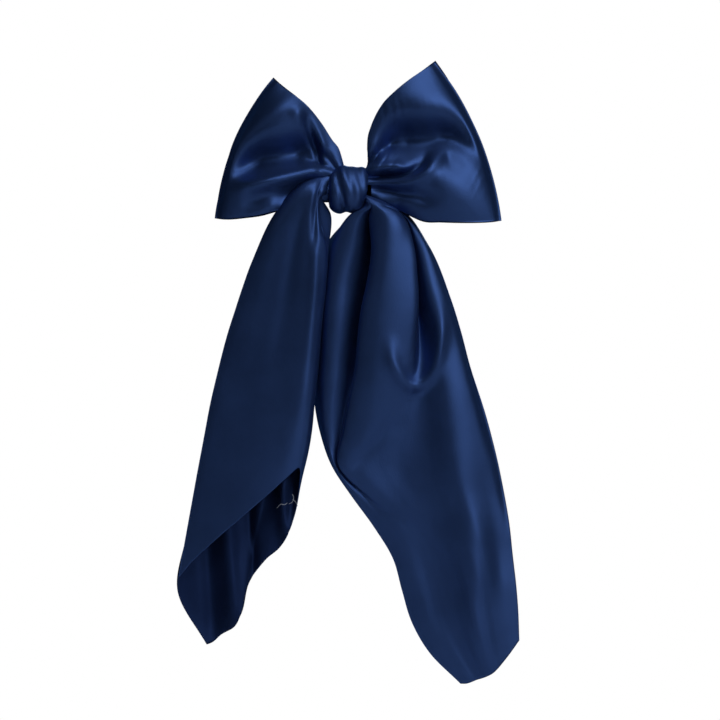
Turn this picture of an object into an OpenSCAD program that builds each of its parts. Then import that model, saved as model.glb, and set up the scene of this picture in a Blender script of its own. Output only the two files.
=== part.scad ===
// Hair bow with two loops, a knot and two long tails, sewn to an arched barrette.
// X is across the bow, +Z is up, the front faces -Y. The origin is the middle of the plate's rear face.

/* [Loops] */
// Length of the left loop from the knot's centre to its outer edge
left_loop_length = 63; // [60:0.5:66]
// Length of the right loop from the knot's centre to its outer edge
right_loop_length = 70; // [67:0.5:72]
// Ribbon width across the left loop's outer edge
left_loop_width = 76; // [72:0.5:78]
// Ribbon width across the right loop's outer edge
right_loop_width = 86; // [82:0.5:88]
// Upward tilt of the left loop
left_loop_tilt = 24; // [22:0.5:25]
// Upward tilt of the right loop
right_loop_tilt = 21.6; // [20:0.2:23]
// Depth of the fullest part of each loop
loop_depth = 31; // [28:0.5:32]
// Wall thickness of the soft loops
loop_wall = 1.2; // [1:0.1:1.6]

/* [Knot] */
// Height of the knot wrap
knot_height = 22.8; // [22:0.1:23]
// Width of the knot wrap along X
knot_width = 21.4; // [21:0.1:22]
// Thickness of the knot wrap
wrap_thickness = 0.8; // [0.6:0.1:1]
// Radius of the gathered waist under the wrap
waist_r = 7.4; // [7:0.1:7.4]

/* [Tails] */
// Depth of the tails' soft solids
tail_depth = 9; // [8:0.5:11]

/* [Barrette] */
// Width of the plate
plate_width = 9.5; // [9:0.1:10]
// Thickness of the plate
plate_thickness = 0.7; // [0.6:0.05:0.8]
// Radius of the plate's rear face
plate_arch_r = 180; // [175:1:190]
// Half length of the plate
plate_half_length = 40; // [39.5:0.5:40.5]
// Height of the arm's front face above the plate's rear face, at the middle
arm_height = 11; // [10.8:0.1:11.4]
// Thickness of the arm
arm_thickness = 0.8; // [0.7:0.05:0.9]
// Radius of the hinge pin
pin_r = 0.6; // [0.55:0.01:0.65]
// Radial clearance of the arm's knuckle on the pin
pin_clearance = 0.05; // [0.03:0.01:0.08]

/* [Hidden] */
$fn = 64;

wrap_r = knot_height / 2;
pad_gap = 0.05;
pad_thickness = 0.9;
wrap_y = -plate_thickness - 2 * pad_gap - pad_thickness - wrap_r - 0.05;
waist_y = -11.1;
waist_end_x = knot_width / 2;
loop_gap = 0.1;
loop_back_y = -2;
tail_split_y = -18.8;
shoulder_rear_y = -20.2;
shoulder_front_y = -24.5;
shoulder_bottom_z = -17;
tail_pivot_y = -16;
tail_pivot_z = -20.5;
tail_top_r = 3;
far = 400;
pin_x = -38;
pin_y = arch_y(plate_arch_r - arm_height, pin_x) - 0.4;
ear_thickness = 0.6;
knuckle_r = 1.35;
rivet_hole_r = 0.85;
sew_hole_r = 0.7;
sew_xs = [-27, -20, 20, 27];
sew_z = 2.2;
catch_x = 36.5;
catch_rivet_x = 36;
bar_left = -35.5;
bar_rivet_x = -33;
bar_step_x = -30;
bar_right = 30;
bar_thickness = 0.4;
bar_width = 7.6;
bar_tilt = 2.2;
prong_foot_y = arch_y(plate_arch_r, catch_x) + 1.65;
prong_top_y = arch_y(plate_arch_r - arm_height, catch_x) + 4.2;
prong_z = 2.7;

// Smooth open curve through the given points: steps pieces between each pair.
function spline_point(a, b, c, d, t) = 0.5 * (2 * b + (c - a) * t
    + (2 * a - 5 * b + 4 * c - d) * t * t + (3 * b - a - 3 * c + d) * t * t * t);
function spline(p, steps = 4) = let (n = len(p)) [
    for (i = [0:n - 2], k = [0:steps - 1])
        spline_point(p[max(i - 1, 0)], p[i], p[i + 1], p[min(i + 2, n - 1)], k / steps),
    p[n - 1]
];

// A front view outline, X and Z, made solid from y = near to y = rear.
module front_outline(near, rear) {
    translate([0, rear, 0]) rotate([90, 0, 0]) linear_extrude(rear - near) children();
}

// A side view outline, Y and Z, made solid across the whole width.
module side_outline() {
    translate([-far / 2, 0, 0]) rotate([90, 0, 90]) linear_extrude(far) children();
}

/* Loops. Each is drawn in its own frame: x runs from the knot to the outer edge, z across the ribbon. */

// Half the front view: the ribbon spreads from the gather to its full width and ends in a bowed edge.
function loop_edge(length, width) = [
    [waist_end_x + loop_gap, 7.4], [length * 0.28, width * 0.24], [length * 0.55, width * 0.4],
    [length * 0.8, width * 0.47], [length * 0.91, width * 0.5]
];
function loop_end(length, width) = [
    [length * 0.91, width * 0.5], [length * 0.97, width * 0.25], [length, 0],
    [length * 0.97, -width * 0.25], [length * 0.91, -width * 0.5]
];
function flip(points) = [for (i = [len(points) - 1:-1:0]) [points[i][0], -points[i][1]]];

module loop_front(length, width) {
    polygon(concat(spline(loop_edge(length, width)), spline(loop_end(length, width)),
        flip(spline(loop_edge(length, width)))));
}

// The ribbon seen along its width: a flat back and a full front that meet in a round outer fold.
module loop_section(length, depth, inset) {
    front = [
        [waist_end_x + loop_gap - 2 * inset, waist_y - 6 + inset], [length * 0.4, -depth * 0.56 + inset],
        [length * 0.65, -depth - 1.5 + inset], [length * 0.85, -depth * 0.74 + inset],
        [length - inset, -depth * 0.4]
    ];
    back = [
        [length - inset, -depth * 0.4], [length * 0.93, -depth * 0.16 - inset],
        [length * 0.75, loop_back_y - inset], [length * 0.4, loop_back_y - inset],
        [waist_end_x + loop_gap - 2 * inset, waist_y + 6.5 - inset]
    ];
    polygon(concat(spline(front), spline(back)));
}

// The belly seen along the loop: full in the middle, shallow at the ribbon's two edges.
module loop_belly(width, depth, inset, over) {
    front = [
        [-depth * 0.34, -width * 0.5], [-depth * 0.6, -width * 0.3], [-depth - 1.5, 0],
        [-depth * 0.86, width * 0.28], [-depth * 0.38, width * 0.5]
    ];
    translate([inset, 0]) polygon(concat(
        [[10 - 2 * inset, -width * 0.5 - over], [-depth * 0.33, -width * 0.5 - over]], spline(front),
        [[-depth * 0.36, width * 0.5 + over], [10 - 2 * inset, width * 0.5 + over]]));
}

module loop_shape(length, width) {
    difference() {
        intersection() {
            front_outline(-60, 20) loop_front(length, width);
            translate([0, 0, -60]) linear_extrude(120) loop_section(length, loop_depth, 0);
            side_outline() loop_belly(width, loop_depth, 0, 1);
        }
        intersection() {
            translate([0, 0, -80]) linear_extrude(160) loop_section(length, loop_depth, loop_wall);
            side_outline() loop_belly(width, loop_depth, loop_wall, 20);
        }
    }
}

module left_loop() {
    color("midnightblue") rotate([0, left_loop_tilt, 0]) mirror([1, 0, 0]) intersection() {
        loop_shape(left_loop_length, left_loop_width);
        waist_side(left_loop_tilt);
    }
}

module right_loop() {
    color("midnightblue") rotate([0, -right_loop_tilt, 0]) intersection() {
        loop_shape(right_loop_length, right_loop_width);
        waist_side(right_loop_tilt);
    }
}

// Everything beyond the knot wrap's flat end, in a loop's own frame.
module waist_side(tilt) {
    rotate([0, tilt, 0]) translate([waist_end_x + loop_gap, -far / 2, -far / 2]) cube([far, far, far]);
}

/* Knot. */

module bow_waist() {
    groove_x = 3;
    color("midnightblue") translate([0, waist_y, 0]) rotate([0, 90, 0]) rotate_extrude() polygon([
        [0, -waist_end_x], [waist_r, -waist_end_x], [waist_r, -groove_x - 1], [waist_r - 1, -groove_x],
        [waist_r - 1, groove_x], [waist_r, groove_x + 1], [waist_r, waist_end_x], [0, waist_end_x]
    ]);
}

module gathering_thread() {
    thread_r = 0.35;
    turns = 5;
    pitch = 1;
    color("navy") for (i = [0:turns - 1])
        translate([(i - (turns - 1) / 2) * pitch, waist_y, 0]) rotate([0, 90, 0])
            rotate_extrude() translate([waist_r - 1 + thread_r + 0.05, 0]) circle(thread_r, $fn = 16);
}

// The tail ribbon's gathered middle fills the front of the wrap and rolls out to a shoulder on each side.
module tail_head() {
    inner_r = wrap_r - wrap_thickness - 0.1;
    core_half = waist_end_x + 0.5;
    side_x = waist_end_x + 0.05;
    left_shoulder = [
        [-side_x, 7], [-14.5, 7], [-19.5, 5], [-24, 2], [-28.5, -3.5], [-33, -9], [-38, shoulder_bottom_z],
        [-14, shoulder_bottom_z], [-16, -11], [-15, -3], [-side_x, 0]
    ];
    right_shoulder = [
        [side_x, 0], [14, -2.5], [18, -5], [21, -8.5], [28, -12], [31.5, shoulder_bottom_z],
        [-2, shoulder_bottom_z], [0.5, -12], [side_x, -11.8]
    ];
    color("midnightblue") union() {
        intersection() {
            translate([-core_half, wrap_y, 0]) rotate([0, 90, 0]) cylinder(h = 2 * core_half, r = inner_r);
            translate([-far / 2, -far, -far / 2]) cube([far, far + tail_split_y, far]);
        }
        front_outline(shoulder_front_y, shoulder_rear_y) polygon(left_shoulder);
        front_outline(shoulder_front_y, shoulder_rear_y) polygon(right_shoulder);
    }
}

module knot_wrap() {
    color("navy") translate([-knot_width / 2, wrap_y, 0]) rotate([0, 90, 0]) difference() {
        cylinder(h = knot_width, r = wrap_r);
        translate([0, 0, -1]) cylinder(h = knot_width + 2, r = wrap_r - wrap_thickness);
    }
}

// Short stitches across the seam where the wrap's ends meet behind the waist.
module wrap_stitches() {
    stitch_r = 0.3;
    stitches = 5;
    pitch = 3.4;
    y = wrap_y + wrap_r - wrap_thickness - stitch_r - 0.25;
    color("navy") for (i = [0:stitches - 1])
        translate([(i - (stitches - 1) / 2) * pitch, y, -2]) cylinder(h = 4, r = stitch_r, $fn = 16);
}

/* Tails. Each is a plain soft solid with the hanging tail's true front outline. */

module tail_side() {
    back = tail_pivot_y + tail_depth * 0.42;
    front = tail_pivot_y - tail_depth * 0.58;
    polygon(concat([
        [tail_pivot_y - tail_top_r, tail_pivot_z], [front, -45], [front, -200], [front + 3, -260],
        [back - 2, -260], [back, -200], [back, -45], [tail_pivot_y + tail_top_r, tail_pivot_z]
    ], [for (a = [15:15:165]) [tail_pivot_y + tail_top_r * cos(a), tail_pivot_z + tail_top_r * sin(a)]]));
}

module tail(outline) {
    intersection() {
        front_outline(-40, 0) polygon(outline);
        side_outline() tail_side();
    }
}

module left_tail() {
    outer = [
        [-31, -10], [-36, -16], [-45.4, -28], [-54.9, -52], [-64.5, -84], [-72.6, -122], [-79.2, -159],
        [-84.2, -186], [-86.3, -204], [-79.2, -217.4], [-71.4, -227.6]
    ];
    lower = [[-71.4, -227.6], [-53.8, -213], [-49.5, -193], [-32.8, -179], [-30.3, -171]];
    inner = [
        [-30.3, -171], [-23.7, -142], [-18.7, -115.5], [-15.6, -85], [-13.6, -60], [-12, -41], [-8.5, -27],
        [-11, -16], [-16, -10]
    ];
    color("midnightblue") tail(concat(spline(outer), spline(lower), spline(inner)));
}

module right_tail() {
    inner = [
        [0, -12.5], [-5.3, -24], [-9.8, -37], [-11.6, -57], [-13.4, -85], [-14.3, -113], [-10.7, -137],
        [1.3, -150.5], [22.3, -186], [28.6, -211], [44.3, -235.6], [57, -248.1]
    ];
    lower = [[57, -248.1], [68.3, -243.5], [78, -235.5], [85.3, -225.1]];
    outer = [
        [85.3, -225.1], [81.6, -182], [74.9, -140], [65, -101], [51.2, -57], [38.2, -27], [30, -18.5],
        [26, -12.5]
    ];
    color("midnightblue") tail(concat(spline(inner), spline(lower), spline(outer)));
}

/* Barrette. Its arched strips share one centre line, parallel to Z, behind the clip. */

// A strip between two radii about the arch's centre, from x = left to x = right, width wide in Z.
module arched_strip(front_r, rear_r, left, right, width) {
    intersection() {
        translate([0, plate_arch_r, -width / 2]) difference() {
            cylinder(h = width, r = front_r, $fn = 360);
            translate([0, 0, -1]) cylinder(h = width + 2, r = rear_r, $fn = 360);
        }
        translate([left, -20, -width / 2 - 1]) cube([right - left, 60, width + 2]);
    }
}

// The y of an arched face at a given x.
function arch_y(radius, x) = plate_arch_r - sqrt(radius * radius - x * x);

// Places its children on the plate's rear face at x, with +y towards the arch's centre.
module on_arch(x) {
    translate([0, plate_arch_r, 0]) rotate([0, 0, asin(x / plate_arch_r)]) translate([0, -plate_arch_r, 0])
        children();
}

// A hole square to the plate at x and z.
module arch_hole(x, z, r) {
    on_arch(x) translate([0, 15, z]) rotate([90, 0, 0]) cylinder(h = 30, r = r);
}

module sewing_holes() {
    for (x = sew_xs, z = [-sew_z, sew_z]) arch_hole(x, z, sew_hole_r);
}

module backing_pad() {
    front_r = plate_arch_r + plate_thickness + pad_gap + pad_thickness;
    color("black") difference() {
        arched_strip(front_r, front_r - pad_thickness, -32, 32, plate_width + 2);
        sewing_holes();
    }
}

module barrette_plate() {
    ear_front_y = arch_y(plate_arch_r, pin_x) - 0.5;
    color("silver") difference() {
        union() {
            arched_strip(plate_arch_r + plate_thickness, plate_arch_r, -plate_half_length, plate_half_length,
                plate_width);
            for (side = [-1, 1]) translate([0, 0, side * (plate_width - ear_thickness) / 2 - ear_thickness / 2]) {
                translate([pin_x - 1.7, ear_front_y, 0]) cube([3.4, pin_y - ear_front_y, ear_thickness]);
                translate([pin_x, pin_y, 0]) cylinder(h = ear_thickness, r = 1.7);
            }
        }
        translate([pin_x, pin_y, -10]) cylinder(h = 20, r = pin_r + 0.02);
        sewing_holes();
        arch_hole(bar_rivet_x, 0, rivet_hole_r);
        arch_hole(catch_rivet_x, 0, rivet_hole_r);
    }
}

module hinge_pin() {
    head_r = 1;
    head_h = 0.5;
    half = plate_width / 2 + 0.05;
    color("gainsboro") translate([pin_x, pin_y, 0]) union() {
        translate([0, 0, -half]) cylinder(h = 2 * half, r = pin_r);
        translate([0, 0, half]) cylinder(h = head_h, r = head_r);
        translate([0, 0, -half - head_h]) cylinder(h = head_h, r = head_r);
    }
}

// The arm rolls round the pin at one end. Its wide end has a window that drops over the catch prongs.
module barrette_arm() {
    width = plate_width - 2 * ear_thickness - 0.5;
    window_width = 7.4;
    window_length = 6;
    front_r = plate_arch_r - arm_height;
    color("silver") difference() {
        union() {
            arched_strip(front_r, front_r - arm_thickness, pin_x, 32, width);
            arched_strip(front_r, front_r - arm_thickness, 31.9, 41, plate_width + 1);
            translate([pin_x, pin_y, -width / 2]) cylinder(h = width, r = knuckle_r);
        }
        translate([pin_x, pin_y, -10]) cylinder(h = 20, r = pin_r + pin_clearance);
        translate([catch_x - window_length / 2, 0, -window_width / 2]) cube([window_length, 30, window_width]);
    }
}

// The leaf is riveted at the hinge end, steps up off the plate, and rises further towards the catch.
module tension_bar() {
    tab_r = plate_arch_r - 0.15;
    leaf_r = plate_arch_r - 1.3;
    pivot_y = arch_y(plate_arch_r, bar_rivet_x);
    color("silver") difference() {
        union() {
            arched_strip(tab_r, tab_r - bar_thickness, bar_left, bar_step_x, bar_width);
            arched_strip(tab_r, leaf_r - bar_thickness, bar_step_x - bar_thickness, bar_step_x, bar_width);
            translate([bar_rivet_x, pivot_y, 0]) rotate([0, 0, bar_tilt]) translate([-bar_rivet_x, -pivot_y, 0])
                arched_strip(leaf_r, leaf_r - bar_thickness, bar_step_x - bar_thickness, bar_right, bar_width);
        }
        arch_hole(bar_rivet_x, 0, rivet_hole_r);
    }
}

// A rivet square to the plate at x. It holds a stack of the given height on the plate's rear face.
module rivet(x, held) {
    color("gainsboro") on_arch(x) rotate([-90, 0, 0]) union() {
        translate([0, 0, -plate_thickness]) cylinder(h = plate_thickness + held + 0.1, r = rivet_hole_r - 0.05);
        translate([0, 0, held]) cylinder(h = 0.5, r = 1.5);
    }
}

module tension_bar_rivet() {
    rivet(bar_rivet_x, 0.67);
}

module catch_base() {
    base_r = plate_arch_r - 0.05;
    color("silver") difference() {
        arched_strip(base_r, base_r - 0.7, catch_x - 2.6, catch_x + 2.6, 7.2);
        arch_hole(catch_rivet_x, 0, rivet_hole_r);
    }
}

module catch_rivet() {
    rivet(catch_rivet_x, 0.8);
}

// A spring leg with a round foot, a barb behind the arm and a finger bead beyond it.
module catch_prong() {
    leg = prong_top_y - prong_foot_y;
    barb_y = arch_y(plate_arch_r - arm_height, catch_x) + 1.5;
    translate([catch_x - 2, 0, 0]) rotate([90, 0, 90]) {
        translate([prong_foot_y, prong_z]) cylinder(h = 4, r = 0.3);
        translate([prong_foot_y, prong_z - 0.25]) cube([leg, 0.5, 4]);
        linear_extrude(4) polygon([
            [barb_y, prong_z], [barb_y, prong_z + 0.85], [barb_y + 2, prong_z + 0.3], [barb_y + 2, prong_z]
        ]);
        translate([prong_top_y, prong_z]) cylinder(h = 4, r = 0.45);
    }
}

module upper_catch_prong() {
    color("silver") catch_prong();
}

module lower_catch_prong() {
    color("silver") mirror([0, 0, 1]) catch_prong();
}

// Thread bars that cross the plate's rear face between each pair of sewing holes and pass through them.
module clip_stitches() {
    thread_r = 0.4;
    lift = thread_r + 0.1;
    color("navy") for (x = sew_xs) on_arch(x) {
        translate([0, lift, -sew_z]) cylinder(h = 2 * sew_z, r = thread_r, $fn = 16);
        for (z = [-sew_z, sew_z]) translate([0, lift, z]) {
            sphere(thread_r, $fn = 16);
            rotate([90, 0, 0]) cylinder(h = lift + plate_thickness + pad_thickness, r = thread_r, $fn = 16);
        }
    }
}

left_loop();
right_loop();
bow_waist();
gathering_thread();
tail_head();
knot_wrap();
wrap_stitches();
left_tail();
right_tail();
backing_pad();
clip_stitches();
barrette_plate();
hinge_pin();
barrette_arm();
tension_bar();
tension_bar_rivet();
catch_base();
catch_rivet();
upper_catch_prong();
lower_catch_prong();
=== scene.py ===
import math

import bpy
import numpy as np
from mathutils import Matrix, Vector, noise


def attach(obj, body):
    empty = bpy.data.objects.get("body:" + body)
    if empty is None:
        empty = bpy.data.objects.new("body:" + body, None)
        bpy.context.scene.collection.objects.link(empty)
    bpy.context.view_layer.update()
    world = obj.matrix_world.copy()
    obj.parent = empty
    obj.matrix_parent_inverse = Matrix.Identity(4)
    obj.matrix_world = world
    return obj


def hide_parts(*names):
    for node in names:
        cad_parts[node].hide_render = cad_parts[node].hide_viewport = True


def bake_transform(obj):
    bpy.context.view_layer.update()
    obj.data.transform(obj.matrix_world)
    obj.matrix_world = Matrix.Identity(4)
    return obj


# Hair bow, worn: +X to the viewer's right, +Z up, front faces -Y. Shapes are given in millimetres and
# made in metres. "Depth" is how far a point stands towards the viewer, so y = -depth.

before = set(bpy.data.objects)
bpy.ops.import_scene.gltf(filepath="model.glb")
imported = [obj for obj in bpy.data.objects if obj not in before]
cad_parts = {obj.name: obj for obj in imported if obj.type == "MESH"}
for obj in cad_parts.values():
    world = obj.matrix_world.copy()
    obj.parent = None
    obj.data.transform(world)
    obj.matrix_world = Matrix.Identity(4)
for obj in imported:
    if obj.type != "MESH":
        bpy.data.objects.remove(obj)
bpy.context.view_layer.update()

MM = 0.001
CLOTH_THICKNESS = 0.45
KNOT_THICKNESS = 0.9
THREAD_RADIUS = 0.12
RIPPLE_SIZE = 26
STROKE_FADE = 0.28
CURVE_SAMPLES = 400
LEAST_GAP = 1e-3
TINY = 1e-9

scene = bpy.context.scene


# ---------------------------------------------------------------- curves and grids

def hermite(knots, values, at):
    """Smooth curve through values (n, ...) at increasing knots (n), read at the numbers in at."""
    t = np.asarray(knots, float)
    v = np.asarray(values, float)
    at = np.clip(np.asarray(at, float), t[0], t[-1])
    step = np.diff(t)
    shape = (-1,) + (1,) * (v.ndim - 1)
    slope = np.diff(v, axis=0) / step.reshape(shape)
    tangent = np.empty_like(v)
    tangent[0], tangent[-1] = slope[0], slope[-1]
    before, after = step[:-1].reshape(shape), step[1:].reshape(shape)
    tangent[1:-1] = (slope[:-1] * after + slope[1:] * before) / (before + after)
    i = np.clip(np.searchsorted(t, at, side="right") - 1, 0, len(step) - 1)
    u = ((at - t[i]) / step[i]).reshape(shape)
    h = step[i].reshape(shape)
    return (
        (2 * u**3 - 3 * u**2 + 1) * v[i] + (u**3 - 2 * u**2 + u) * h * tangent[i]
        + (3 * u**2 - 2 * u**3) * v[i + 1] + (u**3 - u**2) * h * tangent[i + 1]
    )


def along(points, rows):
    """As many points as rows, evenly spaced along the smooth curve through a list of points."""
    p = np.asarray(points, float)
    knots = np.concatenate([[0], np.cumsum(np.linalg.norm(np.diff(p, axis=0), axis=1) ** 0.5)])
    fine = hermite(knots, p, np.linspace(0, knots[-1], CURVE_SAMPLES))
    length = np.concatenate([[0], np.cumsum(np.linalg.norm(np.diff(fine, axis=0), axis=1))])
    at = np.linspace(0, length[-1], rows)
    return np.stack([np.interp(at, length, fine[:, k]) for k in range(p.shape[1])], axis=1)


def across(lines, steps):
    """A grid (rows, columns, 3) through a list of lines (rows, 3), with steps columns from each line to the
    next, on a centripetal Catmull-Rom curve in every row."""
    p = np.concatenate([[2 * lines[0] - lines[1]], lines, [2 * lines[-1] - lines[-2]]])
    columns = []
    for k in range(1, len(p) - 2):
        a, b, c, d = p[k - 1:k + 3]
        gaps = [np.maximum(np.linalg.norm(q - r, axis=1, keepdims=True), LEAST_GAP) ** 0.5
                for q, r in ((b, a), (c, b), (d, c))]
        t0 = np.zeros_like(gaps[0])
        t1 = t0 + gaps[0]
        t2 = t1 + gaps[1]
        t3 = t2 + gaps[2]
        for j in range(steps):
            t = t1 + (t2 - t1) * j / steps
            a1 = (t1 - t) / (t1 - t0) * a + (t - t0) / (t1 - t0) * b
            a2 = (t2 - t) / (t2 - t1) * b + (t - t1) / (t2 - t1) * c
            a3 = (t3 - t) / (t3 - t2) * c + (t - t2) / (t3 - t2) * d
            b1 = (t2 - t) / (t2 - t0) * a1 + (t - t0) / (t2 - t0) * a2
            b2 = (t3 - t) / (t3 - t1) * a2 + (t - t1) / (t3 - t1) * a3
            columns.append((t2 - t) / (t2 - t1) * b1 + (t - t1) / (t2 - t1) * b2)
    columns.append(lines[-1])
    return np.stack(columns, axis=1)


def normals(grid, closed=False):
    """Unit normals of a grid. closed means that the last column meets the first."""
    down = np.gradient(grid, axis=0)
    if closed:
        side = np.roll(grid, -1, axis=1) - np.roll(grid, 1, axis=1)
    else:
        side = np.gradient(grid, axis=1)
    n = np.cross(down, side)
    return n / np.maximum(np.linalg.norm(n, axis=2, keepdims=True), TINY)


def smooth_step(t):
    """Eases from 0 to 1 with level ends."""
    return t * t * (3 - 2 * t)


def stroke(grid, points, widths, height, mask=1):
    """Presses a soft ridge (height > 0) or crease (height < 0) into a grid, along (x, z) points seen from
    the front, fading at both ends. widths are its half widths at its start and end. mask, from 0 to 1 over
    the grid, limits it."""
    start_width, end_width = widths
    flat = grid[..., [0, 2]]
    path = along(points, 6 * (len(points) - 1) + 1)
    total = len(path) - 1
    nearest = np.full(flat.shape[:2], np.inf)
    place = np.zeros(flat.shape[:2])
    for k in range(total):
        start, run = path[k], path[k + 1] - path[k]
        t = np.clip(((flat - start) @ run) / max(run @ run, TINY), 0, 1)
        share = (k + t) / total
        width = start_width + (end_width - start_width) * share
        gap = np.linalg.norm(flat - start - t[..., None] * run, axis=2) / width
        place = np.where(gap < nearest, share, place)
        nearest = np.minimum(nearest, gap)
    fade = smooth_step(np.clip(np.minimum(place, 1 - place) / STROKE_FADE, 0, 1))
    grid[..., 1] -= height * np.exp(-nearest**2) * fade * mask


def ripple(grid, height, seed):
    """Small irregular unevenness of the cloth, the same on every run."""
    shift = Vector((seed * 17.3, seed * 5.1, seed * 9.7))
    n = normals(grid)
    rows, columns = grid.shape[:2]
    for i in range(rows):
        for j in range(columns):
            p = Vector(grid[i, j]) / RIPPLE_SIZE + shift
            grid[i, j] += n[i, j] * height * noise.noise(p)


def smooth_object(name, verts, faces, material):
    """A smooth-shaded mesh object, linked to the scene."""
    mesh = bpy.data.meshes.new(name)
    mesh.from_pydata(verts, [], faces)
    mesh.polygons.foreach_set("use_smooth", [True] * len(mesh.polygons))
    mesh.materials.append(material)
    obj = bpy.data.objects.new(name, mesh)
    scene.collection.objects.link(obj)
    return obj


def cloth_object(name, grid, material, shaded_reverse=None, shaded_reverse_side=1, closed=False,
                 thickness=CLOTH_THICKNESS):
    """Makes a grid in millimetres into a thin closed sheet with UVs in metres along its rows and columns.
    The argument after the reverse material says which side takes it; its darker colour is painted shade. 0
    is the side that normals() points to.
    The faces' corner order points them into the sheet, apart from the narrow ones along its first and
    last columns, which point out of it."""
    rows, columns = grid.shape[:2]
    n = normals(grid, closed)
    layers = np.stack([grid + n * thickness / 2, grid - n * thickness / 2])
    verts = (layers * MM).reshape(-1, 3)

    def at(layer, i, j):
        return layer * rows * columns + i * columns + j % columns

    spans = columns if closed else columns - 1
    widths = np.linalg.norm(np.diff(grid, axis=1), axis=2).mean(axis=0)
    if closed:
        widths = np.append(widths, np.linalg.norm(grid[:, 0] - grid[:, -1], axis=1).mean())
    lengths = np.linalg.norm(np.diff(grid, axis=0), axis=2).mean(axis=1)
    u = np.concatenate([[0], np.cumsum(widths)]) * MM
    v = np.concatenate([[0], np.cumsum(lengths)]) * MM
    faces, uvs = [], []
    for i in range(rows - 1):
        for j in range(spans):
            faces.append((at(0, i, j), at(0, i, j + 1), at(0, i + 1, j + 1), at(0, i + 1, j)))
            uvs.append(((u[j], v[i]), (u[j + 1], v[i]), (u[j + 1], v[i + 1]), (u[j], v[i + 1])))
            faces.append((at(1, i + 1, j), at(1, i + 1, j + 1), at(1, i, j + 1), at(1, i, j)))
            uvs.append(((u[j], v[i + 1]), (u[j + 1], v[i + 1]), (u[j + 1], v[i]), (u[j], v[i])))
    # the narrow faces round the sheet's edges; turn reverses the corners at one edge of each pair
    for j in range(spans):
        for i, turn in ((0, 1), (rows - 1, -1)):
            faces.append((at(1, i, j), at(1, i, j + 1), at(0, i, j + 1), at(0, i, j))[::turn])
            uvs.append(((u[j], v[i]), (u[j + 1], v[i]), (u[j + 1], v[i]), (u[j], v[i]))[::turn])
    if not closed:
        for i in range(rows - 1):
            for j, turn in ((0, 1), (columns - 1, -1)):
                faces.append((at(1, i, j), at(1, i + 1, j), at(0, i + 1, j), at(0, i, j))[::turn])
                uvs.append(((u[j], v[i]), (u[j], v[i + 1]), (u[j], v[i + 1]), (u[j], v[i]))[::turn])
    obj = smooth_object(name, verts.tolist(), faces, material)
    layer = obj.data.uv_layers.new(name="UVMap")
    layer.data.foreach_set("uv", [c for face in uvs for corner in face for c in corner])
    if shaded_reverse is not None:
        obj.data.materials.append(shaded_reverse)
        # the faces of the two sides come first, one of each in turn
        side_faces = 2 * (rows - 1) * spans
        shaded_reverse_faces = [int(k < side_faces and k % 2 == shaded_reverse_side) for k in range(len(faces))]
        obj.data.polygons.foreach_set("material_index", shaded_reverse_faces)
    obj.data.update()
    return obj


def tube_object(name, points, radius, material, sides=8):
    """A thin round thread along points in millimetres, with closed ends."""
    p = np.asarray(points, float)
    forward = np.gradient(p, axis=0)
    forward /= np.linalg.norm(forward, axis=1, keepdims=True)
    # a direction that no thread runs along
    up = np.array([0.31, 0.85, 0.42])
    verts, faces = [], []
    for c, f in zip(p, forward):
        side = np.cross(f, up)
        side /= np.linalg.norm(side)
        other = np.cross(f, side)
        for k in range(sides):
            a = 2 * math.pi * k / sides
            verts.append(tuple((c + radius * (math.cos(a) * side + math.sin(a) * other)) * MM))
    for i in range(len(p) - 1):
        for k in range(sides):
            a, b = i * sides + k, i * sides + (k + 1) % sides
            faces.append((a, b, b + sides, a + sides))
    faces.append(tuple(range(sides))[::-1])
    faces.append(tuple(range((len(p) - 1) * sides, len(p) * sides)))
    return smooth_object(name, verts, faces, material)


# ---------------------------------------------------------------- materials

def new_material(name):
    """A new material, its node tree and its shader."""
    material = bpy.data.materials.new(name)
    material.use_nodes = True
    tree = material.node_tree
    return material, tree, tree.nodes["Principled BSDF"]


def node(tree, kind, **inputs):
    """A new node with its inputs set. An underscore in a name stands for a space."""
    n = tree.nodes.new(kind)
    for key, value in inputs.items():
        n.inputs[key.replace("_", " ")].default_value = value
    return n


def mix_colours(tree, factor, first, second, shader):
    """Gives the shader a base colour that runs from first to second with the factor."""
    mix = tree.nodes.new("ShaderNodeMix")
    mix.data_type = "RGBA"
    mix.inputs["A"].default_value = (*first, 1)
    mix.inputs["B"].default_value = (*second, 1)
    tree.links.new(factor, mix.inputs["Factor"])
    tree.links.new(mix.outputs["Result"], shader.inputs["Base Color"])


def vary_roughness(tree, factor, low, high, shader):
    """Gives the shader a roughness that runs from low to high with the factor."""
    rough = node(tree, "ShaderNodeMapRange", To_Min=low, To_Max=high)
    tree.links.new(factor, rough.inputs["Value"])
    tree.links.new(rough.outputs["Result"], shader.inputs["Roughness"])


def add_bump(tree, height, strength, distance):
    """A bump node driven by the height, and its normal."""
    bump = node(tree, "ShaderNodeBump", Strength=strength, Distance=distance)
    tree.links.new(height, bump.inputs["Height"])
    return bump, bump.outputs["Normal"]


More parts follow.
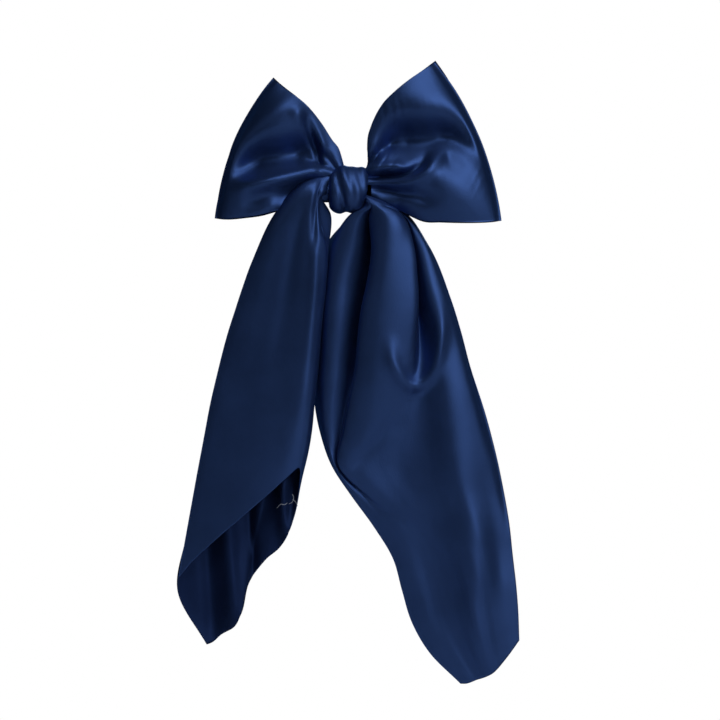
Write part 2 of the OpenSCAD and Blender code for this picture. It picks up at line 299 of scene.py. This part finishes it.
def satin_material(name, dark, light, roughness=0.50, metallic=0.9):
    """Heavy satin: coloured gloss, a fine warp-faced weave, faint creasing and shade variation."""
    material, tree, shader = new_material(name)
    link = tree.links.new
    shader.inputs["Metallic"].default_value = metallic
    shader.inputs["Anisotropic"].default_value = 0.3
    shader.inputs["Specular IOR Level"].default_value = 0.25
    shader.inputs["Specular Tint"].default_value = (0.35, 0.58, 1.0, 1)
    shader.inputs["Sheen Weight"].default_value = 0.015
    shader.inputs["Sheen Roughness"].default_value = 0.4
    shader.inputs["Sheen Tint"].default_value = (0.35, 0.5, 1.0, 1)
    coord = tree.nodes.new("ShaderNodeTexCoord")
    tangent = tree.nodes.new("ShaderNodeTangent")
    tangent.direction_type = "UV_MAP"
    tangent.uv_map = "UVMap"
    link(tangent.outputs["Tangent"], shader.inputs["Tangent"])

    shade = node(tree, "ShaderNodeTexNoise", Scale=55.0, Detail=3.0, Roughness=0.55)
    link(coord.outputs["Object"], shade.inputs["Vector"])
    mix_colours(tree, shade.outputs["Fac"], dark, light, shader)
    vary_roughness(tree, shade.outputs["Fac"], roughness - 0.04, roughness + 0.05, shader)

    warp = tree.nodes.new("ShaderNodeMapping")
    warp.inputs["Scale"].default_value = (1700, 420, 1)
    link(coord.outputs["UV"], warp.inputs["Vector"])
    weave = node(tree, "ShaderNodeTexNoise", Scale=1.0, Detail=2.0, Roughness=0.5)
    link(warp.outputs["Vector"], weave.inputs["Vector"])
    creases = node(tree, "ShaderNodeTexNoise", Scale=120.0, Detail=4.0, Roughness=0.5, Distortion=0.4)
    link(coord.outputs["Object"], creases.inputs["Vector"])
    _, fine_normal = add_bump(tree, weave.outputs["Fac"], 0.22, 0.0002)
    broad, broad_normal = add_bump(tree, creases.outputs["Fac"], 0.06, 0.0012)
    link(fine_normal, broad.inputs["Normal"])
    link(broad_normal, shader.inputs["Normal"])
    return material


def thread_material(name, colour):
    """Twisted yarn: slanting light and dark bands."""
    material, tree, shader = new_material(name)
    shader.inputs["Roughness"].default_value = 0.55
    shader.inputs["Sheen Weight"].default_value = 0.2
    coord = tree.nodes.new("ShaderNodeTexCoord")
    twist = node(tree, "ShaderNodeTexWave", Scale=900.0, Distortion=1.5, Detail=1.0)
    twist.bands_direction = "DIAGONAL"
    tree.links.new(coord.outputs["Object"], twist.inputs["Vector"])
    mix_colours(tree, twist.outputs["Fac"], [c * 0.6 for c in colour], colour, shader)
    _, normal = add_bump(tree, twist.outputs["Fac"], 0.4, 0.0002)
    tree.links.new(normal, shader.inputs["Normal"])
    return material


def felt_material(name, colour):
    """Felt: matt, with short tangled fibres."""
    material, tree, shader = new_material(name)
    shader.inputs["Roughness"].default_value = 0.95
    shader.inputs["Sheen Weight"].default_value = 0.5
    coord = tree.nodes.new("ShaderNodeTexCoord")
    fibres = node(tree, "ShaderNodeTexNoise", Scale=900.0, Detail=6.0, Roughness=0.75, Distortion=1.2)
    tree.links.new(coord.outputs["Object"], fibres.inputs["Vector"])
    mix_colours(tree, fibres.outputs["Fac"], [c * 0.5 for c in colour], [c * 1.6 for c in colour], shader)
    _, normal = add_bump(tree, fibres.outputs["Fac"], 0.6, 0.0004)
    tree.links.new(normal, shader.inputs["Normal"])
    return material


def steel_material(name, colour, roughness):
    """Plated or spring steel, with long fine brushing along X and duller patches."""
    material, tree, shader = new_material(name)
    shader.inputs["Metallic"].default_value = 1.0
    coord = tree.nodes.new("ShaderNodeTexCoord")
    stretch = tree.nodes.new("ShaderNodeMapping")
    stretch.inputs["Scale"].default_value = (60, 1800, 1800)
    tree.links.new(coord.outputs["Object"], stretch.inputs["Vector"])
    grain = node(tree, "ShaderNodeTexNoise", Scale=1.0, Detail=3.0, Roughness=0.6)
    tree.links.new(stretch.outputs["Vector"], grain.inputs["Vector"])
    patch = node(tree, "ShaderNodeTexNoise", Scale=160.0, Detail=3.0)
    tree.links.new(coord.outputs["Object"], patch.inputs["Vector"])
    vary_roughness(tree, patch.outputs["Fac"], roughness - 0.07, roughness + 0.12, shader)
    mix_colours(tree, patch.outputs["Fac"], [c * 0.82 for c in colour], colour, shader)
    _, normal = add_bump(tree, grain.outputs["Fac"], 0.15, 0.0001)
    tree.links.new(normal, shader.inputs["Normal"])
    return material


satin = satin_material("navy_satin", dark=(0.030, 0.066, 0.200), light=(0.038, 0.082, 0.245))
# the reverse side: duller satin whose darker colour is painted shade for the insides of the folds
satin_reverse_painted_shade = satin_material("satin_reverse_painted_shade", dark=(0.007, 0.016, 0.060), light=(0.010, 0.023, 0.085),
                               roughness=0.58, metallic=0.6)
navy_thread = thread_material("navy_thread", (0.02, 0.03, 0.09))
pale_thread = thread_material("frayed_pale_thread", (0.42, 0.47, 0.58))
felt = felt_material("dark_felt", (0.016, 0.018, 0.035))
plated_steel = steel_material("nickel_plate", (0.70, 0.69, 0.66), 0.28)
spring_steel = steel_material("spring_steel", (0.60, 0.61, 0.63), 0.22)


# ---------------------------------------------------------------- loops

# How the ribbon widens from the gather to its fold: share of the loop's length, share of the half width.
LEFT_UPPER = (
    (0.10, 0.22), (0.16, 0.36), (0.20, 0.44), (0.27, 0.51), (0.39, 0.65), (0.54, 0.79),
    (0.66, 0.86), (0.83, 0.96), (0.90, 1.01), (1.0, 1.04),
)
LEFT_LOWER = (
    (0.10, 0.18), (0.15, 0.24), (0.30, 0.42), (0.46, 0.585), (0.59, 0.745), (0.70, 0.845),
    (0.80, 0.93), (0.915, 1.0), (1.0, 1.03),
)
RIGHT_UPPER = (
    (0.10, 0.16), (0.19, 0.20), (0.224, 0.34), (0.26, 0.47), (0.31, 0.575), (0.38, 0.685),
    (0.46, 0.775), (0.55, 0.835), (0.68, 0.90), (0.81, 0.95), (0.915, 1.0), (1.0, 1.03),
)
RIGHT_LOWER = (
    (0.10, 0.18), (0.20, 0.33), (0.32, 0.53), (0.39, 0.65), (0.52, 0.755), (0.68, 0.87),
    (0.82, 0.96), (0.915, 1.01), (1.0, 1.04),
)
LOOP_START_X = 5.5
LOWER_TIP = 0.085
# Depth of the loop's front and back along its middle line, at these shares of the way from gather to fold.
STATIONS = (0, 0.16, 0.36, 0.6, 0.82, 0.94, 1)
BELLY = (18.0, 19.5, 25.0, 29.5, 25.5, 19.5, 14.2)
BACK = (5.2, 3.6, 2.9, 2.9, 4.2, 7.6, 14.0)
EDGE_DEPTH = 13.5
BACK_CUP = 2.2
FOLD_DEPTH = 14.2
FOLD_START = 0.94


def loop_grid(length, half_width, tilt, side, tip, upper, lower, rows=150, columns=91):
    """A ribbon loop: rows run from the waist behind, out to the fold and back in front to the waist;
    columns run from the ribbon's lower edge to its upper one. side is -1 for the left loop, and tip is how
    far the fold's upper end falls back, as a share of the length."""
    v = np.linspace(-1, 1, columns)
    end_x = length * (1 - np.where(v > 0, tip, LOWER_TIP) * np.abs(v) ** 1.8)
    upper, lower = np.array(upper), np.array(lower)
    crown = 1 - 0.50 * np.abs(v) ** 2.6
    turn = np.linspace(-1, 1, rows)
    grid = np.empty((rows, columns, 3))
    for i, t in enumerate(turn):
        q = 1 - abs(t) ** 1.35
        x = LOOP_START_X + (end_x - LOOP_START_X) * q
        above = hermite(upper[:, 0], upper[:, 1], x / length)
        below = hermite(lower[:, 0], lower[:, 1], x / length)
        if t > 0:
            depth = EDGE_DEPTH + (hermite(STATIONS, BELLY, [q])[0] - EDGE_DEPTH) * crown
        else:
            cup = BACK_CUP * np.abs(v) ** 3 * math.sin(math.pi * min(q * 1.05, 1))
            depth = hermite(STATIONS, BACK, [q])[0] + cup
        fold = max(q - FOLD_START, 0) / (1 - FOLD_START)
        grid[i, :, 0] = x
        grid[i, :, 1] = -(depth + (FOLD_DEPTH - depth) * fold**1.5)
        grid[i, :, 2] = v * half_width * np.where(v > 0, above, below)
    c, s = math.cos(math.radians(tilt)), math.sin(math.radians(tilt))
    x, z = grid[..., 0].copy(), grid[..., 2].copy()
    grid[..., 0] = side * (x * c - z * s)
    grid[..., 2] = x * s + z * c
    # the strokes pressed into the front fade out towards the ribbon's fold, and leave the back alone
    front_mask = smooth_step(np.clip((turn - 0.06) / 0.34, 0, 1))[:, None]
    return grid, front_mask


def left_loop():
    grid, front = loop_grid(length=63.2, half_width=38.2, tilt=21.4, side=-1, tip=0.108,
                            upper=LEFT_UPPER, lower=LEFT_LOWER)
    for points, widths, height in (
        # the dark pocket between the two lobes, and its corner near the knot
        (((-80, 6), (-52, 13), (-31, 17.5), (-8, 23)), (9.5, 9.0), -15.0),
        (((-26, 42), (-19.5, 29), (-15.5, 14), (-15, 6)), (3.0, 1.6), -4.0),
        # the lower lobe's crest, and the cloth that turns under it
        (((-74, 10), (-58, 3), (-47, 3), (-36, 5), (-20, 9), (-2, 10)), (5.0, 2.2), 4.2),
        (((-60, -10), (-42, -4), (-26, 1), (-10, 5)), (5.5, 3.0), -4.0),
        # the upper lobe
        (((-70, 26), (-44, 39), (-12, 44)), (8.0, 8.0), 3.0),
        (((-30, 43), (-18, 29), (-10, 15)), (3.6, 2.0), 2.6),
        # small puckers at the knot
        (((-5, 9), (-10, 14), (-15, 22)), (1.2, 2.4), -1.8),
        (((-3, 5), (-20, 1), (-40, -9)), (1.3, 4.0), -2.8),
        (((-3, 8), (-12, 11.5), (-24, 16)), (1.0, 2.6), -2.0),
    ):
        stroke(grid, points, widths, height, front)
    ripple(grid, 0.35, 1)
    return grid


def right_loop():
    grid, front = loop_grid(length=70.1, half_width=43.2, tilt=22.6, side=1, tip=0.082,
                            upper=RIGHT_UPPER, lower=RIGHT_LOWER)
    for points, widths, height in (
        # the broad dark hollow and the wave crest under it
        (((8, 28), (34, 24.5), (60, 25), (86, 20)), (9.0, 15.0), -17.0),
        (((8, 4), (25, 3), (35, 7), (42, 14), (48, 20), (57, 17), (74, 2)), (2.4, 6.5), 4.4),
        # ridges and creases that run out of the knot
        (((4, 6), (16, 6.5), (28, 7), (36, 12), (40, 20)), (1.5, 3.2), -6.5),
        (((4, 8), (16, 11), (30, 11.5)), (1.4, 2.6), 2.6),
        (((4, 8), (13, 17), (25, 27)), (1.4, 4.4), -4.5),
        (((9, 12), (14, 30), (26, 46)), (3.0, 6.0), 0.8),
        (((3, 1.5), (22, -1), (48, -7)), (1.4, 4.2), -2.8),
        (((11, -4), (24, -9)), (1.6, 3.0), 1.4),
    ):
        stroke(grid, points, widths, height, front)
    ripple(grid, 0.35, 2)
    return grid


# ---------------------------------------------------------------- knot

KNOT_RADIUS = 11.4
KNOT_CENTRE_DEPTH = 13.6
KNOT_LEFT = -10.1
KNOT_RIGHT = 9.6


def knot_grid(around=120, rows=61):
    """The wrap: rows go across the strip, whose edges are tucked under, and columns go round the waist.
    In front its right edge is drawn in, most at the lower end."""
    grid = np.empty((rows, around, 3))
    for j in range(around):
        a = 2 * math.pi * j / around
        z_share, y_share = math.sin(a), math.cos(a)
        front = 0.5 + 0.5 * y_share
        right_edge = KNOT_RIGHT - (1.2 + 3.6 * max(-z_share, 0) ** 1.5) * front
        left_edge = KNOT_LEFT + 1.0 * max(z_share, 0) ** 3 * front
        for i in range(rows):
            t = -1 + 2 * i / (rows - 1)
            tuck = 1 - 0.26 * abs(t) ** 5
            wrinkle = (
                1.0 * math.sin(4.6 * t + 2.4 * z_share + 0.9) * front
                + 0.45 * math.sin(10 * t + 3.4 * z_share + 2.6) * front
            ) * (1 - t * t)
            r = KNOT_RADIUS * tuck + wrinkle
            x = 0.5 * (left_edge + right_edge) + 0.5 * (right_edge - left_edge) * t
            grid[i, j] = (x, -KNOT_CENTRE_DEPTH - r * y_share, r * z_share)
    return grid


# ---------------------------------------------------------------- tails

def line_on(levels, values, z):
    """The x or depth of a line at heights z, from its values at falling levels."""
    return hermite([-k for k in levels], values, [-k for k in np.atleast_1d(z)])


# The left tail's outline seen from the front: height and x.
LEFT_EDGE = (
    (-8.9, -35.2), (-16.8, -40.6), (-26.4, -45.2), (-51.9, -54.9), (-83.8, -64.9), (-122.0, -73.1),
    (-159.4, -79.8), (-185.9, -84.6), (-204.2, -86.5), (-217.4, -80.4), (-228.6, -72.0),
)
LEFT_ROLL = (
    (-8.9, -16.4), (-22.4, -12.7), (-28.8, -11.5), (-54.3, -13.1), (-95.8, -17.1), (-131.2, -21.2),
    (-158.6, -27.0), (-185.0, -33.0), (-228.0, -42.0),
)


def left_tail_line(f, end_z, depth_top, depth, depth_end, behind=False):
    """One lengthwise line of the left tail, in millimetres. f is its share of the way from the left edge to
    the rolled right one, and the three depths are those at its top, at 0.3 of its length and at its end."""
    knot = (-7.5, -17.5 - 1.5 * (1 - f) + (2.5 if behind else 0), 6.5 - 7.5 * f)
    shoulder = (-23.4 + 8.8 * f, -depth_top, 3.3 - 7.0 * f)
    points = [knot, shoulder]
    for k, z in enumerate(np.linspace(-13, end_z, 9)):
        left = line_on(*zip(*LEFT_EDGE), z)[0]
        roll = line_on(*zip(*LEFT_ROLL), z)[0]
        share = k / 8
        d = hermite((0, 0.3, 1), (depth_top, depth, depth_end), [share])[0]
        # the layer behind shows as a sliver beside the knot's lower end
        sliver = 7.0 * math.exp(-((z + 17) / 10) ** 2) * max(f - 0.75, 0) / 0.25 if behind else 0
        points.append((left + f * (roll - left) + sliver, -d + 0.7 * sliver, z))
    return points


def left_tail(rows=190, steps=10):
    """Rows run down the tail, columns from its left edge over the roll at its right and back behind."""
    # each line's share of the width, end height and three depths
    front = (
        (0.00, -195.1, 19.0, 9.5, 11.0), (0.10, -187.0, 21.5, 12.5, 13.0),
        (0.30, -175.5, 24.0, 16.0, 16.0), (0.50, -164.5, 25.0, 18.8, 18.4),
        (0.70, -153.5, 25.5, 21.4, 19.6), (0.86, -144.0, 25.0, 22.8, 20.0),
        (0.95, -139.5, 23.5, 20.6, 19.0), (1.00, -150.0, 20.0, 16.5, 15.5),
    )
    back = (
        (0.985, -172.0, 17.5, 12.5, 12.0), (0.93, -180.0, 16.5, 10.0, 10.0),
        (0.82, -186.0, 16.5, 9.0, 10.0), (0.70, -198.0, 16.5, 8.0, 9.0),
        (0.64, -213.0, 16.5, 7.5, 10.5), (0.54, -219.5, 16.5, 7.0, 9.0),
        (0.30, -224.0, 16.5, 6.5, 9.0), (0.12, -227.5, 16.5, 6.5, 9.5),
        (0.00, -228.6, 17.0, 7.5, 10.5),
    )
    lines = [along(left_tail_line(*row), rows) for row in front]
    lines += [along(left_tail_line(*row, behind=True), rows) for row in back]
    grid = across(np.array(lines), steps)
    # the strokes on the front stop short of the roll
    on_front = (np.arange(grid.shape[1]) < steps * len(front) - 12)[None, :]
    for points, widths, height in (
        # long soft folds
        (((-18, 3), (-26, -20), (-32, -60), (-40, -110)), (2.0, 7), -1.4),
        (((-20, 4), (-34, -14), (-46, -50), (-58, -100)), (2.5, 7), 1.0),
        (((-13, 6), (-17, -20), (-18, -60), (-25, -130)), (1.8, 4.0), 1.2),
        # thin gathers beside the knot
        (((-9, 8), (-12.5, -2), (-13.5, -26)), (0.8, 1.3), -2.2),
        (((-12, 9), (-16.5, -3), (-18.0, -34)), (0.9, 2.0), -1.8),
    ):
        stroke(grid, points, widths, height, on_front)
    # the pleats of the inner side, which the open end shows
    for points, widths, height in (
        (((-64, -146), (-61, -178), (-57, -232)), (4.4, 4.8), 5.5),
        (((-73, -160), (-71, -190), (-68, -236)), (4.0, 4.0), -3.0),
        (((-52, -146), (-50, -172), (-47, -214)), (2.8, 3.0), -3.0),
        (((-34, -138), (-33.5, -158), (-32, -180)), (3.0, 3.4), 5.0),
    ):
        stroke(grid, points, widths, height, ~on_front)
    ripple(grid, 0.8, 3)
    return grid


# The right tail's lengthwise lines, from its left edge through its folds to its right edge, at falling
# levels: each line's x at every level, then its depth.
RIGHT_LEVELS = (-13, -25, -45, -65, -88, -115, -143, -165, -188, -212, -232, -250)
RIGHT_FOLDS = (
    ((0.5, -10.5, -15.0, -16.5, -18.5, -16.2, -6.6, 9.0, 22.8, 28.8, 39.5, 57.4),
     (12, 7, 6, 6, 6.5, 8, 12, 12, 12, 12, 12, 13)),
    ((0.0, -6.5, -9.5, -11.0, -12.5, -12.6, -5.6, 12.5, 26.5, 33.0, 44.0, 60.0),
     (19, 17, 17, 17, 16, 14, 14, 13, 12.5, 12.5, 13, 14)),
    ((4.5, 2.0, -2.5, -4.5, -6.5, -9.6, -4.6, 16.5, 31.5, 38.0, 48.0, 62.0),
     (20, 18.5, 17.5, 17, 16, 14.5, 13.5, 13.5, 13, 13, 13.5, 14.5)),
    ((12.5, 13.5, 11.5, 7.4, 3.6, -3.0, -3.6, 21.0, 36.5, 43.0, 52.0, 64.0),
     (11, 7, 6, 6.5, 9, 12, 12.5, 14, 13, 13, 14, 14.5)),
    ((10.0, 11.0, 8.6, 4.8, 2.6, -1.5, -2.9, 25.5, 41.0, 48.0, 56.0, 66.0),
     (19, 20, 20, 20, 19, 18, 16, 14, 13, 13.5, 14, 14.5)),
    ((17.5, 17.5, 15.0, 13.0, 11.5, 9.0, 5.0, 30.0, 45.5, 53.0, 60.0, 68.5),
     (24.5, 25, 25.5, 25.2, 24, 20.5, 17, 14, 13.5, 15, 15.5, 15)),
    ((23.0, 26.0, 26.5, 26.5, 24.0, 20.0, 17.0, 36.0, 51.0, 58.0, 64.0, 71.5),
     (23, 23.5, 24, 24, 22.5, 18.5, 15.5, 14.5, 16, 18.5, 18.5, 15.5)),
    ((26.0, 31.0, 33.2, 33.4, 31.0, 29.0, 28.0, 44.0, 56.5, 62.0, 67.5, 74.5),
     (19, 20, 20.5, 20.5, 19.5, 16, 14.5, 16, 20, 21.5, 19.5, 15.5)),
    ((26.5, 29.5, 32.4, 34.5, 36.0, 37.5, 41.0, 53.0, 62.0, 67.0, 71.0, 77.0),
     (13, 11.5, 9.5, 10.5, 16, 16, 16.5, 20, 22.3, 20.5, 18.5, 15.5)),
    ((27.5, 33.0, 38.5, 43.0, 46.0, 50.0, 54.0, 61.0, 67.5, 71.5, 75.0, 80.0),
     (15, 16.5, 18.5, 20.5, 22, 22.5, 22.8, 22, 20.5, 18, 16.5, 15)),
    ((28.8, 36.2, 43.5, 49.5, 56.5, 63.0, 68.0, 72.0, 75.0, 78.0, 80.0, 83.0),
     (14, 16, 17.5, 18.5, 19, 18.5, 17, 15.5, 15, 15, 14.5, 14)),
    ((29.8, 37.6, 47.2, 53.4, 60.3, 68.8, 75.6, 79.6, 82.2, 84.5, 85.2, 85.6),
     (12, 12, 12, 12, 12.5, 12.5, 13, 13, 13, 13, 13, 13)),
)
# The height of each line's lower end.
RIGHT_ENDS = (-248.1, -248.0, -247.5, -246.8, -246.0, -245.2,
              -244.0, -242.5, -240.5, -237.5, -233.0, -226.3)


def right_tail(rows=200, steps=11):
    """Rows run down the tail, columns across its folds from left to right."""
    lines = []
    last = len(RIGHT_FOLDS) - 1
    for k, ((xs, depths), end_z) in enumerate(zip(RIGHT_FOLDS, RIGHT_ENDS)):
        f = k / last
        bulge = math.sin(math.pi * f)
        knot = (7.0, -17.5 - 2 * bulge, -2.5 - 3.0 * (1 - f))
        shoulder = (6.5 + 13.5 * f, -(18 + 4.5 * bulge), -8.6 + 0.6 * f)
        z = np.linspace(-13.5, end_z, 16)
        x = line_on(RIGHT_LEVELS, xs, z)
        d = line_on(RIGHT_LEVELS, depths, z)
        lines.append(along([knot, shoulder, *zip(x, -d, z)], rows))
    grid = across(np.array(lines), steps)
    for points, widths, height in (
        # the crease that rises from the lower end of the left panel
        (((-1.6, -143.8), (12, -128), (27.1, -111.3)), (2.5, 5), -1.2),
        # the swag: a U-shaped fold round the lower end of the gap between the panels
        (((19, -70), (23, -90), (31, -98.5), (39, -94), (45, -76), (44.5, -48)), (3.4, 3.6), 3.4),
        # the line where the panel's far right side falls behind
        (((56, -74), (66, -110), (75, -143), (81, -178)), (1.6, 2.2), -1.8),
    ):
        stroke(grid, points, widths, height)
    ripple(grid, 0.8, 4)
    return grid


# ---------------------------------------------------------------- build the soft pieces

pieces = {}
for name, grid, shaded_reverse_side in (
    ("left_ribbon_loop", left_loop(), 1), ("right_ribbon_loop", right_loop(), 0),
    ("left_ribbon_tail", left_tail(), 1), ("right_ribbon_tail", right_tail(), 1),
):
    pieces[name] = cloth_object(name, grid, satin, satin_reverse_painted_shade, shaded_reverse_side)
name = "satin_knot_wrap"
pieces[name] = cloth_object(name, knot_grid(), satin, closed=True, thickness=KNOT_THICKNESS)

# short pale threads frayed from the ribbon's cut end, inside the left tail
for letter, points in zip("abc", (
    ((-36.5, -18.2, -159.5), (-34.6, -19.4, -157.6), (-32.8, -19.2, -157.9), (-31.4, -18.3, -157.0)),
    ((-30.6, -18.3, -157.6), (-29.0, -19.4, -156.6), (-28.2, -19.4, -154.4), (-28.9, -18.6, -152.6)),
    ((-28.6, -18.9, -155.2), (-27.0, -19.2, -156.8), (-26.2, -18.6, -158.6)),
)):
    thread = tube_object("frayed_thread_" + letter, along(points, 24), THREAD_RADIUS, pale_thread)
    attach(thread, "left_fall")

for name, node_name in (
    ("left_ribbon_loop", "left_loop"),
    ("right_ribbon_loop", "right_loop"),
    ("satin_knot_wrap", "knot_wrap"),
):
    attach(pieces[name], "root")
    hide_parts(node_name)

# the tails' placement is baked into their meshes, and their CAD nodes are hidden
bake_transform(pieces["left_ribbon_tail"])
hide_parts("left_tail", "tail_head")
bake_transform(pieces["right_ribbon_tail"])
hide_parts("right_tail")

# ---------------------------------------------------------------- materials of the carried-over CAD nodes

NODE_MATERIALS = {
    "bow_waist": satin, "gathering_thread": navy_thread, "wrap_stitches": navy_thread,
    "clip_stitches": navy_thread, "backing_pad": felt, "barrette_plate": plated_steel,
    "hinge_pin": plated_steel, "barrette_arm": plated_steel, "tension_bar": spring_steel,
    "tension_bar_rivet": plated_steel, "catch_base": plated_steel, "catch_rivet": plated_steel,
    "upper_catch_prong": spring_steel, "lower_catch_prong": spring_steel,
}
for node_name, material in NODE_MATERIALS.items():
    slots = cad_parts[node_name].data.materials
    slots.clear()
    slots.append(material)

# ---------------------------------------------------------------- stage, light and camera

FLOOR_Z = -0.300
FLOOR_SIDE = 0.6
FLOOR_BACK = 0.26
floor_mesh = bpy.data.meshes.new("floor")
floor_corners = [(-FLOOR_SIDE, -FLOOR_SIDE, FLOOR_Z), (FLOOR_SIDE, -FLOOR_SIDE, FLOOR_Z),
                 (FLOOR_SIDE, FLOOR_BACK, FLOOR_Z), (-FLOOR_SIDE, FLOOR_BACK, FLOOR_Z)]
floor_mesh.from_pydata(floor_corners, [], [(0, 1, 2, 3)])
floor_material, _, floor_shader = new_material("pale_floor")
floor_shader.inputs["Base Color"].default_value = (0.80, 0.80, 0.81, 1)
floor_shader.inputs["Roughness"].default_value = 0.8
floor_mesh.materials.append(floor_material)
floor = bpy.data.objects.new("floor", floor_mesh)
scene.collection.objects.link(floor)

# the background shows white, and lights the bow with a weak bluish glow that is stronger behind it
world = bpy.data.worlds.new("studio")
scene.world = world
world.use_nodes = True
tree = world.node_tree
background = tree.nodes["Background"]
background.inputs["Color"].default_value = (1, 1, 1, 1)
background.inputs["Strength"].default_value = 1.0
soft = tree.nodes.new("ShaderNodeBackground")
soft.inputs["Color"].default_value = (0.82, 0.88, 1.0, 1)
sky = tree.nodes.new("ShaderNodeTexCoord")
split = tree.nodes.new("ShaderNodeSeparateXYZ")
tree.links.new(sky.outputs["Generated"], split.inputs["Vector"])
behind = node(tree, "ShaderNodeMapRange", From_Min=0.1, From_Max=0.9, To_Min=0.006, To_Max=0.14)
tree.links.new(split.outputs["Y"], behind.inputs["Value"])
tree.links.new(behind.outputs["Result"], soft.inputs["Strength"])
path = tree.nodes.new("ShaderNodeLightPath")
blend_node = tree.nodes.new("ShaderNodeMixShader")
tree.links.new(path.outputs["Is Camera Ray"], blend_node.inputs[0])
tree.links.new(soft.outputs[0], blend_node.inputs[1])
tree.links.new(background.outputs[0], blend_node.inputs[2])
tree.links.new(blend_node.outputs[0], tree.nodes["World Output"].inputs["Surface"])


def area_light(name, position, target, width, height, power):
    """A white soft light that faces the target, in metres and watts."""
    light = bpy.data.lights.new(name, "AREA")
    light.shape = "RECTANGLE"
    light.size = width
    light.size_y = height
    light.energy = power
    obj = bpy.data.objects.new(name, light)
    scene.collection.objects.link(obj)
    obj.location = position
    obj.rotation_euler = (Vector(target) - Vector(position)).to_track_quat("-Z", "Y").to_euler()


area_light("key_above", (0.10, -0.60, 0.95), (0, 0, -0.08), width=0.9, height=0.5, power=5.0)
area_light("key_front", (0.85, -1.00, 0.42), (0, 0, -0.10), width=0.6, height=0.8, power=6.8)
area_light("fill_left", (-0.95, -0.75, 0.25), (0, 0, -0.10), width=0.4, height=0.6, power=0.3)
area_light("back_light", (0.15, 1.3, 0.35), (0, 0, -0.08), width=0.6, height=0.5, power=4.5)

camera_data = bpy.data.cameras.new("camera")
camera_data.sensor_width = 36
camera_data.lens = 158
camera = bpy.data.objects.new("camera", camera_data)
scene.collection.objects.link(camera)
camera.location = (0.005, -1.60, -0.0855)
camera.rotation_euler = (math.radians(90), 0, 0)
scene.camera = camera
scene.view_settings.view_transform = "Standard"
